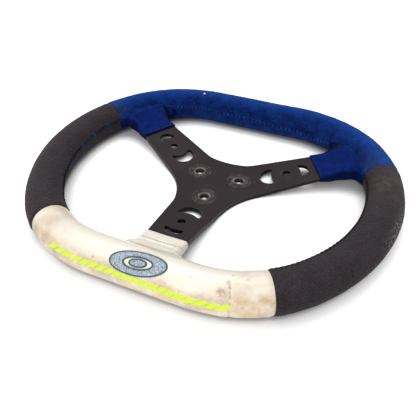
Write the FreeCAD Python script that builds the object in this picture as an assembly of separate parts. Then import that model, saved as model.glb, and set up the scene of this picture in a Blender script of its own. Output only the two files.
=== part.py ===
import FreeCAD, Part
import math
import os

# Kart steering wheel, lying on its back. Millimetres and degrees.
# Origin: middle of the hub on its mounting face. +Z: steering axis, out towards the driver.
# +Y: top of the wheel. +X: the driver's right.

# Spoke plate
plate_thickness = 4.0
bolt_circle = 50.0
bolt_hole = 6.4
bolt_sink = 9.6
spoke_headings = {"right": 30.0, "left": 150.0, "bottom": 270.0}
hub_waist = 38.0
spoke_width = 43.3
spoke_taper = 4.9
spoke_end_reach = 131.0
spoke_end_corner = 5.0
bend_reach = 38.6
bend_radius = 14.0
spoke_rise = 10.0

# Openings punched in each spoke: a round hole between two crescents
round_hole_reach = 73.6
round_hole = 8.0
hub_crescent_offset = 15.6
hub_crescent_radius = 12.0
hub_crescent_bite_offset = 0.0
hub_crescent_bite = 15.6
rim_crescent_offset = 13.2
rim_crescent_radius = 9.5
rim_crescent_bite_offset = 5.7
rim_crescent_bite = 20.0
crescent_tip_radius = 1.8

# Rim centreline: straight top and bottom runs joined by tangent arcs
rim_height = 17.25
rim_top_reach = 127.5
top_run = 100.0
upper_corner_radius = 107.0
upper_corner_turn = 54.2
upper_side_radius = 137.5
upper_side_turn = 32.7
lower_side_radius = 166.5
lower_side_turn = 42.0
lower_corner_radius = 109.0

# Grip, from the inside out
tube_radius = 10.0
tube_wall = 1.5
foam_thickness = 6.1
cover_thickness = 1.3
top_cover_half_length = 184.5
bottom_cover_half_length = 103.0

# Tabs on the tube, and the rivets that hold the plate to them
tab_thickness = 2.5
tab_width = 28.0
tab_start_reach = 114.0
tab_corner = 5.0
rivet_reach = 122.5
rivet_pitch = 18.0
rivet_shank = 5.0
rivet_head = 9.5
rivet_tail = 8.5
rivet_tail_height = 1.0

# Foam stubs and fabric boots round the spoke roots
boot_hem_reach = 103.0
hem_fold = 3.0
boot_thickness = 1.0
stub_skin = 0.4
stub_swell = 0.6
root_gap = 6.0
root_half_width = 20.2
root_above = 2.2
root_below = 10.5
throat_depth = 5.4
throat_half_width = 26.0
throat_above = 6.6
throat_below = 11.0
hem_corner = 1.2
root_corner = 5.0
throat_corner = 8.0
lap_half_width = 31.0
lap_above = 8.5
lap_below = 13.0
lap_shifts = {"right": 4.5, "left": -4.5, "bottom": 0.0}
lap_overhang = 10.0

foam_radius = tube_radius + foam_thickness
grip_radius = foam_radius + cover_thickness
lap_radius = grip_radius + boot_thickness
up = FreeCAD.Vector(0, 0, 1)
origin = FreeCAD.Vector(0, 0, 0)


def sine(degrees):
    return math.sin(math.radians(degrees))


def cosine(degrees):
    return math.cos(math.radians(degrees))


def tangent(degrees):
    return math.tan(math.radians(degrees))


def spoke_half_width(reach):
    """Half the spoke's width at a distance from the wheel's axis."""
    return spoke_width / 2 - (reach - round_hole_reach) * tangent(spoke_taper)


def plate_top(reach):
    """Height of the plate's front face on a spoke's middle line, outside the bend."""
    return plate_thickness + (reach - bend_reach) * tangent(spoke_rise)


def rim_runs():
    """Runs of the rim's centreline clockwise from the middle of the top, as (length, radius)."""
    radii = [upper_corner_radius, upper_side_radius, lower_side_radius, lower_corner_radius]
    turns = [upper_corner_turn, upper_side_turn, lower_side_turn]
    turns.append(180.0 - sum(turns))
    sideways = top_run / 2
    heading = 0.0
    half = [(top_run / 2, None)]
    for radius, turn in zip(radii, turns):
        sideways += radius * (sine(heading + turn) - sine(heading))
        heading += turn
        half.append((radius * math.radians(turn), radius))
    half.append((sideways, None))
    return half + half[::-1]


def rim_length():
    return sum(length for length, radius in rim_runs())


def rim_pieces(start, stop):
    """Parts of the runs between two distances along the rim: (point, direction, centre, radius, length)."""
    place = FreeCAD.Vector(0, rim_top_reach, rim_height)
    heading = 0.0
    travelled = -rim_length()
    pieces = []
    for length, radius in rim_runs() * 3:
        near = max(start, travelled) - travelled
        far = min(stop, travelled + length) - travelled
        along = FreeCAD.Vector(cosine(heading), -sine(heading), 0)
        inward = FreeCAD.Vector(-sine(heading), -cosine(heading), 0)
        if radius is None:
            if far - near > 1e-6:
                pieces.append((place + along * near, along, None, None, far - near))
            place = place + along * length
        else:
            centre = place + inward * radius
            turned = heading + math.degrees(near / radius)
            if far - near > 1e-6:
                point = centre + FreeCAD.Vector(sine(turned), cosine(turned), 0) * radius
                direction = FreeCAD.Vector(cosine(turned), -sine(turned), 0)
                pieces.append((point, direction, centre, radius, far - near))
            heading += math.degrees(length / radius)
            place = centre + FreeCAD.Vector(sine(heading), cosine(heading), 0) * radius
        travelled += length
    return pieces


def rim_sleeve(inner_radius, outer_radius, start, stop):
    """Round sleeve that follows the rim between two distances along it; solid if inner_radius is 0."""
    solids = []
    for point, direction, centre, radius, length in rim_pieces(start, stop):
        face = Part.Face(Part.Wire(Part.makeCircle(outer_radius, point, direction)))
        if inner_radius > 0:
            face = face.cut(Part.Face(Part.Wire(Part.makeCircle(inner_radius, point, direction))))
        if radius is None:
            solids.append(face.extrude(direction * length))
        else:
            solids.append(face.revolve(centre, -up, math.degrees(length / radius)))
    return solids[0].multiFuse(solids[1:]).removeSplitter()


def rim_reach(heading):
    """Distance from the wheel's axis to the rim's centreline in one direction."""
    edges = []
    for point, direction, centre, radius, length in rim_pieces(0, rim_length()):
        if radius is None:
            edges.append(Part.makeLine(point, point + direction * length))
        else:
            turned = FreeCAD.Rotation(-up, math.degrees(length / radius))
            halfway = FreeCAD.Rotation(-up, math.degrees(length / radius) / 2)
            middle = centre + halfway.multVec(point - centre)
            end = centre + turned.multVec(point - centre)
            edges.append(Part.Arc(point, middle, end).toShape())
    axis = FreeCAD.Vector(0, 0, rim_height)
    ray = Part.makeLine(axis, axis + FreeCAD.Vector(cosine(heading), sine(heading), 0) * rim_length())
    crossing = ray.distToShape(Part.Compound(edges))[1][0][0]
    return (crossing - axis).Length


def turned_to(shape, heading):
    """A shape drawn along +X, turned to a spoke's heading."""
    shape = shape.copy()
    shape.rotate(origin, up, heading)
    return shape


def on_slope(shape, reach):
    """A shape drawn at the origin, laid on the sloping front face of the spoke along +X."""
    shape = shape.copy()
    shape.rotate(origin, FreeCAD.Vector(0, 1, 0), -spoke_rise)
    shape.translate(FreeCAD.Vector(reach, 0, plate_top(reach)))
    return shape


def plate_outline():
    """Plan of the plate: three tapered spokes joined by concave arcs that pass the hub's waist."""
    sector = 180.0 / len(spoke_headings)
    side_offset = (spoke_width / 2 + round_hole_reach * tangent(spoke_taper)) * cosine(spoke_taper)
    blend_reach = (hub_waist - side_offset) / (1 - sine(sector + spoke_taper))
    blend_radius = blend_reach - hub_waist
    root_x = blend_reach * cosine(sector) - blend_radius * sine(spoke_taper)
    root_y = blend_reach * sine(sector) - blend_radius * cosine(spoke_taper)
    end_y = spoke_half_width(spoke_end_reach)
    points = []
    for heading in sorted(spoke_headings.values()):
        turn = FreeCAD.Rotation(up, heading)
        local = [(root_x, -root_y), (spoke_end_reach, -end_y), (spoke_end_reach, end_y), (root_x, root_y)]
        points.append([turn.multVec(FreeCAD.Vector(x, y, 0)) for x, y in local])
    edges = []
    for index, heading in enumerate(sorted(spoke_headings.values())):
        near, low, high, far = points[index]
        waist = FreeCAD.Vector(cosine(heading + sector), sine(heading + sector), 0) * hub_waist
        edges += [Part.makeLine(near, low), Part.makeLine(low, high), Part.makeLine(high, far)]
        edges.append(Part.Arc(far, waist, points[(index + 1) % len(points)][0]).toShape())
    return Part.Wire(edges)


def bent_strip():
    """Side section of the plate along +X, flat at the hub and bent up, as a wide strip."""
    start = bend_reach - bend_radius * tangent(spoke_rise / 2)
    centre = FreeCAD.Vector(start, 0, plate_thickness + bend_radius)
    outside = bend_radius + plate_thickness
    slope = FreeCAD.Vector(cosine(spoke_rise), 0, sine(spoke_rise)) * (spoke_end_reach / cosine(spoke_rise))

    def on_bend(radius, share):
        angle = spoke_rise * share
        return centre + FreeCAD.Vector(sine(angle), 0, -cosine(angle)) * radius

    front_end = on_bend(bend_radius, 1) + slope
    back_end = on_bend(outside, 1) + slope
    edges = [
        Part.makeLine(FreeCAD.Vector(0, 0, plate_thickness), on_bend(bend_radius, 0)),
        Part.Arc(on_bend(bend_radius, 0), on_bend(bend_radius, 0.5), on_bend(bend_radius, 1)).toShape(),
        Part.makeLine(on_bend(bend_radius, 1), front_end),
        Part.makeLine(front_end, back_end),
        Part.makeLine(back_end, on_bend(outside, 1)),
        Part.Arc(on_bend(outside, 1), on_bend(outside, 0.5), on_bend(outside, 0)).toShape(),
        Part.makeLine(on_bend(outside, 0), origin),
        Part.makeLine(origin, FreeCAD.Vector(0, 0, plate_thickness)),
    ]
    strip = Part.Face(Part.Wire(edges)).extrude(FreeCAD.Vector(0, 4 * hub_waist, 0))
    strip.translate(FreeCAD.Vector(0, -2 * hub_waist, 0))
    return strip


def rounded_upright(solid, radius, chosen):
    """A solid with its upright edges rounded where chosen(middle point) holds."""
    edges = []
    for edge in solid.Edges:
        first, last = edge.Vertexes[0].Point, edge.Vertexes[-1].Point
        upright = abs(first.x - last.x) < 1e-6 and abs(first.y - last.y) < 1e-6
        if upright and chosen((first + last) * 0.5):
            edges.append(edge)
    return solid.makeFillet(radius, edges)


def crescent(offset, radius, bite_offset, bite):
    """Moon-shaped cutter: a disc offset from the round hole, less a larger bite on the hole's side."""
    depth = 4 * plate_thickness
    low = FreeCAD.Vector(0, 0, -depth / 2)
    disc = Part.makeCylinder(radius, depth, low + FreeCAD.Vector(offset, 0, 0))
    moon = disc.cut(Part.makeCylinder(bite, depth, low + FreeCAD.Vector(bite_offset, 0, 0)))
    return rounded_upright(moon, crescent_tip_radius, lambda point: abs(point.y) > radius / 2)


def spoke_cuts():
    """Openings of one spoke along +X, square to its sloping face."""
    depth = 4 * plate_thickness
    hole = Part.makeCylinder(round_hole / 2, depth, FreeCAD.Vector(0, 0, -depth / 2))
    hub_moon = crescent(-hub_crescent_offset, hub_crescent_radius,
                        hub_crescent_bite_offset, hub_crescent_bite)
    rim_moon = crescent(rim_crescent_offset, rim_crescent_radius,
                        -rim_crescent_bite_offset, rim_crescent_bite)
    return [on_slope(cut, round_hole_reach) for cut in (hole, hub_moon, rim_moon)]


def bolt_cut():
    """Countersunk screw hole on the bolt circle along +X."""
    sink_depth = (bolt_sink - bolt_hole) / 2
    centre = FreeCAD.Vector(bolt_circle / 2, 0, 0)
    hole = Part.makeCylinder(bolt_hole / 2, plate_thickness, centre)
    sink = Part.makeCone(bolt_hole / 2, bolt_sink / 2, sink_depth,
                         centre + up * (plate_thickness - sink_depth))
    return hole.fuse(sink)


def rivet():
    """Countersunk rivet, head flush with the plate's front face, tail set against the tab."""
    head_depth = (rivet_head - rivet_shank) / 2
    grip = plate_thickness + tab_thickness
    head = Part.makeCone(rivet_shank / 2, rivet_head / 2, head_depth, up * -head_depth)
    shank = Part.makeCylinder(rivet_shank / 2, grip, up * -grip)
    bulge = ((rivet_tail / 2) ** 2 + rivet_tail_height ** 2) / (2 * rivet_tail_height)
    ball = Part.makeSphere(bulge, up * (bulge - rivet_tail_height - grip))
    below = Part.makeBox(rivet_tail * 2, rivet_tail * 2, 2 * bulge,
                         FreeCAD.Vector(-rivet_tail, -rivet_tail, -grip - 2 * bulge))
    return head.fuse(shank).fuse(ball.common(below)).removeSplitter()


def rivets_of(heading):
    """The two rivets of one spoke, side by side."""
    pair = []
    for side in (-1, 1):
        one = rivet()
        one.translate(FreeCAD.Vector(0, side * rivet_pitch / 2, 0))
        pair.append(turned_to(on_slope(one, rivet_reach), heading))
    return pair


def spoke_plate(rivets):
    height = rim_height + plate_thickness + grip_radius
    prism = Part.Face(plate_outline()).extrude(up * 2 * height)
    prism.translate(up * -height)
    ends = spoke_end_reach * cosine(spoke_end_corner)
    prism = rounded_upright(prism, spoke_end_corner, lambda point: math.hypot(point.x, point.y) > ends)
    strips = [turned_to(bent_strip(), heading) for heading in spoke_headings.values()]
    plate = strips[0].common(prism).multiFuse([strip.common(prism) for strip in strips[1:]])
    cuts = []
    for heading in spoke_headings.values():
        cuts += [turned_to(cut, heading) for cut in spoke_cuts() + [bolt_cut()]]
    return plate.cut(cuts + rivets).removeSplitter()


def tab(heading, tube_core, rivets):
    """Steel strip under one spoke, running on along its slope to the tube."""
    start = (tab_start_reach - bend_reach) / cosine(spoke_rise)
    stop = (rim_reach(heading) - bend_reach) / cosine(spoke_rise)
    strip = Part.makeBox(stop - start, tab_width, tab_thickness,
                         FreeCAD.Vector(start, -tab_width / 2, -plate_thickness - tab_thickness))
    middle = (start + stop) / 2
    strip = rounded_upright(strip, tab_corner, lambda point: point.x < middle)
    return turned_to(on_slope(strip, bend_reach), heading).cut([tube_core] + rivets)


def section(reach, half_width, low, high, corner):
    """Rounded rectangle across a spoke along +X."""
    inner_y, inner_low, inner_high = half_width - corner, low + corner, high - corner
    corners = [(inner_y, inner_low, 0), (inner_y, inner_high, 90),
               (-inner_y, inner_high, 180), (-inner_y, inner_low, 270)]
    arcs = []
    for y, z, turn in corners:
        points = []
        for angle in (turn, turn + 45, turn + 90):
            points.append(FreeCAD.Vector(reach, y + corner * sine(angle), z - corner * cosine(angle)))
        arcs.append(Part.Arc(*points).toShape())
    edges = []
    for index, arc in enumerate(arcs):
        following = arcs[(index + 1) % len(arcs)]
        edges += [arc, Part.makeLine(arc.Vertexes[-1].Point, following.Vertexes[0].Point)]
    return Part.Wire(edges)


def root_loft(heading, growth):
    """Swelling body round a spoke root, from the hem into the grip; growth is the fabric's thickness."""
    reach = rim_reach(heading)
    root = reach - grip_radius - root_gap
    throat = reach - grip_radius + throat_depth
    rows = [
        (boot_hem_reach, spoke_half_width(boot_hem_reach) + stub_skin, plate_top(boot_hem_reach),
         plate_thickness + stub_skin, stub_skin, hem_corner),
        (tab_start_reach, spoke_half_width(tab_start_reach) + stub_skin, plate_top(tab_start_reach),
         plate_thickness + tab_thickness + stub_skin + stub_swell, stub_skin + stub_swell, hem_corner),
        (root, root_half_width, plate_top(root), root_below, root_above, root_corner),
        (throat, throat_half_width, rim_height, throat_below, throat_above, throat_corner),
    ]
    wires = []
    for place, half_width, level, below, above, corner in rows:
        low, high = level - below - growth, level + above + growth
        wires.append(section(place, half_width + growth, low, high, corner + growth))
    return turned_to(Part.makeLoft(wires, True, False), heading)


def foam_stub(heading):
    """Foam round a spoke root, which stops short of the boot's folded hem."""
    before_fold = Part.makeBox(hem_fold, 2 * hub_waist, 2 * rim_height,
                               FreeCAD.Vector(boot_hem_reach, -hub_waist, 0))
    return root_loft(heading, 0.0).cut(turned_to(before_fold, heading))


def boot(heading, shift, grip_core, plate, stub):
    """Fabric boot: a sleeve round the foam stub that laps onto the inside of the grip as an oval."""
    start = rim_reach(heading) - lap_radius - lap_overhang
    sleeve = root_loft(heading, boot_thickness).cut(grip_core)
    half_height = (lap_above + lap_below) / 2
    centre = FreeCAD.Vector(start, shift, rim_height + lap_above - half_height)
    side = centre + FreeCAD.Vector(0, lap_half_width, 0)
    oval = Part.Ellipse(side, centre + up * half_height, centre).toShape()
    tongue = Part.Face(Part.Wire(oval)).extrude(FreeCAD.Vector(2 * lap_overhang, 0, 0))
    tongue = turned_to(tongue, heading)
    skin = rim_sleeve(grip_radius, lap_radius, 0, rim_length())
    return sleeve.fuse(skin.common(tongue)).cut([stub, plate]).removeSplitter()


def export(name, shape):
    """Write one node's solids, and print what they are."""
    solids = Part.Compound(shape.Solids)
    faults = [not solid.isValid() for solid in solids.Solids]
    print(name, "solids", len(solids.Solids), "volume", round(solids.Volume, 1), "faults", sum(faults))
    solids.exportStep(f"parts/{name}.step")


def main():
    os.makedirs("parts", exist_ok=True)
    loop = rim_length()
    tube_core = rim_sleeve(0, tube_radius, 0, loop)
    grip_core = rim_sleeve(0, grip_radius, 0, loop)
    rivets = {side: rivets_of(heading) for side, heading in spoke_headings.items()}
    all_rivets = sum(rivets.values(), [])
    plate = spoke_plate(all_rivets)
    tabs = {side: tab(heading, tube_core, rivets[side]) for side, heading in spoke_headings.items()}
    stubs = {side: foam_stub(heading) for side, heading in spoke_headings.items()}
    foam = rim_sleeve(0, foam_radius, 0, loop).multiFuse(list(stubs.values()))
    foam = foam.cut([tube_core, plate] + list(tabs.values()) + all_rivets)

    export("spoke_plate", plate)
    export("rim_tube", rim_sleeve(tube_radius - tube_wall, tube_radius, 0, loop))
    export("spoke_rivets", Part.Compound(all_rivets))
    export("grip_foam", foam)
    for side, shape in tabs.items():
        export(f"tab_{side}", shape)

    top = top_cover_half_length
    low = loop / 2 - bottom_cover_half_length
    spans = {
        "top": (-top, top),
        "right": (top, low),
        "bottom": (low, loop - low),
        "left": (loop - low, loop - top),
    }
    for side, (start, stop) in spans.items():
        cover = rim_sleeve(foam_radius, grip_radius, start, stop)
        export(f"cover_{side}", cover.cut(list(stubs.values())))
    for side, heading in spoke_headings.items():
        export(f"boot_{side}", boot(heading, lap_shifts[side], grip_core, plate, stubs[side]))


main()
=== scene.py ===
"""Dresses a packed padded steering wheel: sewn covers, boots, stitching, worn finishes and a stage."""

import math

import bpy
import numpy as np
from bpy.props import FloatProperty, FloatVectorProperty, IntProperty, PointerProperty
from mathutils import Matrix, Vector


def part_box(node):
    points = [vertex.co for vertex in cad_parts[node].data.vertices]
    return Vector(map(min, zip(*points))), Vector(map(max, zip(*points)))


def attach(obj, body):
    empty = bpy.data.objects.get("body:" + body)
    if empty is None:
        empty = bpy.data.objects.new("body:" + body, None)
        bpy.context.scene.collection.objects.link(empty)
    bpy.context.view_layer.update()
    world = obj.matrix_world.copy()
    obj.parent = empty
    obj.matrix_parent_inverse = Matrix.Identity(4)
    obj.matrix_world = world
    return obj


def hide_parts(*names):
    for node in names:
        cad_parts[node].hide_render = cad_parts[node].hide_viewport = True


bl_info = {
    "name": "Padded Steering Wheel",
    "version": (1, 0, 0),
    "blender": (4, 5, 0),
    "location": "3D View > Sidebar > Wheel",
    "description": "Covers, boots, stitching, worn finishes and a stage for a packed steering wheel",
    "category": "Object",
}

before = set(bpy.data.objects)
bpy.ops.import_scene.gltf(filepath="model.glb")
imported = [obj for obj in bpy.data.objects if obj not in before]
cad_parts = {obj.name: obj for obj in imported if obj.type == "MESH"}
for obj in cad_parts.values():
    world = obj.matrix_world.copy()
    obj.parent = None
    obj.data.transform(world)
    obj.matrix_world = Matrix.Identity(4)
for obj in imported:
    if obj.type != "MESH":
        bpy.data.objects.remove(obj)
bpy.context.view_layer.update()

# Frame: origin at the hub's bolt circle on the mounting face, +Z to the driver, +Y to the top.
# Metres and degrees.
TUBE_LOW, TUBE_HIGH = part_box("rim_tube")
TUBE_RADIUS = (TUBE_HIGH.z - TUBE_LOW.z) / 2
RIM_HEIGHT = (TUBE_HIGH.z + TUBE_LOW.z) / 2
RIM_TOP = TUBE_HIGH.y - TUBE_RADIUS
COVER_LOW, COVER_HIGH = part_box("cover_right")
GRIP_RADIUS = (COVER_HIGH.z - COVER_LOW.z) / 2
FLOOR_HEIGHT = RIM_HEIGHT - GRIP_RADIUS

# Rim centreline clockwise from the middle of the top: straight runs joined by tangent arcs
TOP_RUN = 0.100
ARC_RADII = (0.107, 0.1375, 0.1665, 0.109)
ARC_TURNS = (54.2, 32.7, 42.0, 51.1)

# Spokes: direction of each, on which side of it the wheel's top lies, and the plate's bend
SPOKES = {"right": 30.0, "left": 150.0, "bottom": 270.0}
TOWARDS_TOP = {"right": 1.0, "left": -1.0, "bottom": 0.0}
PLATE_THICKNESS = 0.004
BEND_REACH = 0.0386
SPOKE_RISE = 10.0
BOLT_REACH = 0.025

# Joins between the covers, as distances along the rim from the middle of the top
TOP_COVER_END = 0.1845
BOTTOM_COVER_HALF = 0.103

# Where the cover's own seam lies round the grip: distance along the rim, and angle with 0 outward and 90 up
TOP_SEAM = ((-0.185, 166.0), (-0.100, 166.0), (0.0, 173.0), (0.045, 182.0), (0.075, 190.0), (0.185, 178.0))
RIGHT_SEAM = ((0.184, 166.0), (0.240, 156.0), (0.300, 134.0), (0.388, 122.0))
LEFT_SEAM = ((-0.388, 172.0), (-0.250, 168.0), (-0.184, 167.0))
BOTTOM_SEAM = ((0.386, 206.0), (0.594, 206.0))


def sine(degrees):
    return np.sin(np.radians(degrees))


def cosine(degrees):
    return np.cos(np.radians(degrees))


def bell(offset, width):
    """1 at no offset, fading smoothly to nothing over a few widths."""
    return np.exp(-((offset / width) ** 2))


def ease(value, low, high):
    """0 below low, 1 above high and a smooth S between them."""
    share = np.clip((value - low) / (high - low), 0.0, 1.0)
    return share * share * (3.0 - 2.0 * share)


def rim_table():
    """Start distance, heading, curvature and start point of each run of the centreline, all the way round."""
    half = [(TOP_RUN / 2, 0.0)]
    sideways = TOP_RUN / 2
    heading = 0.0
    for radius, turn in zip(ARC_RADII, ARC_TURNS):
        sideways += radius * (sine(heading + turn) - sine(heading))
        heading += turn
        half.append((radius * math.radians(turn), 1.0 / radius))
    half.append((sideways, 0.0))
    lengths, curvatures = np.array(half + half[::-1]).T
    starts = np.concatenate([[0.0], np.cumsum(lengths)])
    headings = np.concatenate([[0.0], np.cumsum(lengths * curvatures)])[:-1]
    middles = headings + lengths * curvatures / 2
    chords = lengths * np.sinc(lengths * curvatures / (2 * np.pi))
    steps = np.stack([chords * np.cos(middles), -chords * np.sin(middles)], axis=1)
    places = np.array([0.0, RIM_TOP]) + np.concatenate([[[0.0, 0.0]], np.cumsum(steps, axis=0)[:-1]])
    return starts[:-1], headings, curvatures, places, starts[-1]


RUN_STARTS, RUN_HEADINGS, RUN_CURVATURES, RUN_PLACES, RIM_LENGTH = rim_table()
LOW_JOIN = RIM_LENGTH / 2 - BOTTOM_COVER_HALF

# Each cover: where it starts and stops along the rim, its seam and its slot
COVERS = {
    "top": (-TOP_COVER_END, TOP_COVER_END, TOP_SEAM, "blue_suede"),
    "right": (TOP_COVER_END, LOW_JOIN, RIGHT_SEAM, "black_suede"),
    "bottom": (LOW_JOIN, RIM_LENGTH - LOW_JOIN, BOTTOM_SEAM, "cream_leather"),
    "left": (-LOW_JOIN, -TOP_COVER_END, LEFT_SEAM, "black_suede"),
}


def rim_line(distance):
    """Point and outward direction on the centreline. Along a run of curvature k that starts with heading h,
    the point after d lies one chord, d sinc(k d / 2), from the start in the direction h + k d / 2."""
    distance = np.mod(distance, RIM_LENGTH)
    run = np.searchsorted(RUN_STARTS, distance, side="right") - 1
    along = distance - RUN_STARTS[run]
    half_turn = RUN_CURVATURES[run] * along / 2
    chord = along * np.sinc(half_turn / np.pi)
    middle = RUN_HEADINGS[run] + half_turn
    step = np.stack([chord * np.cos(middle), -chord * np.sin(middle)], axis=-1)
    turned = middle + half_turn
    outward = np.stack([np.sin(turned), np.cos(turned), 0.0 * turned], axis=-1)
    place = RUN_PLACES[run] + step
    point = np.concatenate([place, np.full(place.shape[:-1] + (1,), RIM_HEIGHT)], axis=-1)
    return point, outward


def on_grip(distance, angle, radius):
    """Point at a distance along the rim, an angle round it and a radius from its centreline:
    centreline + radius (outward cos angle + up sin angle)."""
    distance, angle, radius = np.broadcast_arrays(distance, angle, radius)
    point, outward = rim_line(distance)
    up = np.array([0.0, 0.0, 1.0])
    across = (radius * cosine(angle))[..., None] * outward
    return point + across + (radius * sine(angle))[..., None] * up


def waves(points, wavelength, seed, count=16):
    """Smooth unevenness of about -1 to 1: the sum of cos(k . p + phase) over seeded random wave vectors k."""
    chance = np.random.default_rng(seed)
    directions = chance.normal(size=(count, 3))
    directions /= np.linalg.norm(directions, axis=1, keepdims=True)
    scales = 2 * np.pi / (wavelength * chance.uniform(0.7, 1.4, count))
    phases = chance.uniform(0.0, 2 * np.pi, count)
    return np.cos(points @ (directions * scales[:, None]).T + phases).sum(axis=-1) / np.sqrt(2.0 * count)


def distance_at(heading):
    """Distance along the rim at which the centreline crosses a heading from the hub, counted from +X."""
    samples = np.linspace(0.0, RIM_LENGTH, 4001)
    point = rim_line(samples)[0]
    turn = np.degrees(np.arctan2(point[:, 1], point[:, 0])) - heading
    away = np.abs((turn + 180.0) % 360.0 - 180.0)
    return samples[np.argmin(away)]


def add_piece(name, points, material, wrap_rows=True, wrap_columns=True, attributes=None):
    """A mesh of quads over a grid of points, which rides on the wheel. A closed grid is turned to face
    outwards."""
    rows, columns = points.shape[-3:-1]
    batches = points.reshape(-1, rows, columns, 3)
    row = np.arange(rows if wrap_rows else rows - 1)
    column = np.arange(columns if wrap_columns else columns - 1)
    first, second = np.meshgrid(row, column, indexing="ij")
    next_row, next_column = (first + 1) % rows, (second + 1) % columns
    corners = [first * columns + second, first * columns + next_column,
               next_row * columns + next_column, next_row * columns + second]
    quads = np.stack(corners, axis=-1).reshape(-1, 4)
    flat = batches[0].reshape(-1, 3)
    a, b, c, d = (flat[quads[:, k]] for k in range(4))
    swept = (np.cross(b - a, c - a) * a).sum() + (np.cross(c - a, d - a) * a).sum()
    if wrap_rows and wrap_columns and swept < 0:
        quads = quads[:, ::-1]
    offsets = np.arange(len(batches))[:, None, None] * (rows * columns)
    loops = (quads[None] + offsets).reshape(-1)
    mesh = bpy.data.meshes.new(name)
    mesh.vertices.add(batches.size // 3)
    mesh.vertices.foreach_set("co", batches.reshape(-1).astype(np.float32))
    mesh.loops.add(len(loops))
    mesh.loops.foreach_set("vertex_index", loops.astype(np.int32))
    mesh.polygons.add(len(loops) // 4)
    mesh.polygons.foreach_set("loop_start", np.arange(0, len(loops), 4, dtype=np.int32))
    mesh.polygons.foreach_set("use_smooth", np.ones(len(loops) // 4, dtype=bool))
    mesh.update(calc_edges=True)
    for key, values in (attributes or {}).items():
        layer = mesh.attributes.new(key, "FLOAT", "POINT")
        layer.data.foreach_set("value", values.reshape(-1).astype(np.float32))
    mesh.materials.append(material)
    piece = bpy.data.objects.new(name, mesh)
    bpy.context.scene.collection.objects.link(piece)
    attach(piece, "root")
    return piece


def tubes(paths, radius, sides=6):
    """Round threads along paths (many, steps, 3): path + radius (side cos t + over sin t), pinched shut at
    the ends."""
    ahead = np.gradient(paths, axis=1)
    ahead /= np.linalg.norm(ahead, axis=-1, keepdims=True)
    side = np.cross(ahead, np.array([0.31, 0.22, 0.92]))
    side /= np.linalg.norm(side, axis=-1, keepdims=True)
    over = np.cross(ahead, side)
    steps = paths.shape[1]
    swell = np.ones(steps)
    swell[[0, -1]] = 0.02
    turn = np.linspace(0.0, 360.0, sides, endpoint=False)
    ring = side[:, :, None] * cosine(turn)[:, None] + over[:, :, None] * sine(turn)[:, None]
    return paths[:, :, None] + ring * (radius * swell)[:, None, None]


class Value:
    """A number socket of a material, with arithmetic that adds Math nodes."""

    def __init__(self, tree, socket):
        self.tree = tree
        self.socket = socket

    def math(self, operation, *others):
        node = self.tree.nodes.new("ShaderNodeMath")
        node.operation = operation
        for place, item in zip(node.inputs, (self,) + others):
            if isinstance(item, Value):
                self.tree.links.new(item.socket, place)
            else:
                place.default_value = item
        return Value(self.tree, node.outputs[0])

    def __add__(self, other):
        return self.math("ADD", other)

    def __sub__(self, other):
        return self.math("SUBTRACT", other)

    def __rsub__(self, other):
        return self.math("MULTIPLY_ADD", -1.0, other)

    def __mul__(self, other):
        return self.math("MULTIPLY", other)

    __radd__ = __add__
    __rmul__ = __mul__

    def above(self, low, high):
        """0 below low, 1 above high and a smooth S between them."""
        node = self.tree.nodes.new("ShaderNodeMapRange")
        node.interpolation_type = "SMOOTHSTEP"
        self.tree.links.new(self.socket, node.inputs["Value"])
        node.inputs["From Min"].default_value = low
        node.inputs["From Max"].default_value = high
        return Value(self.tree, node.outputs["Result"])

    def bell(self, width):
        """1 where the number is 0, fading to 0 at a distance of width on either side."""
        return 1.0 - self.math("ABSOLUTE").above(0.0, width)


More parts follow.
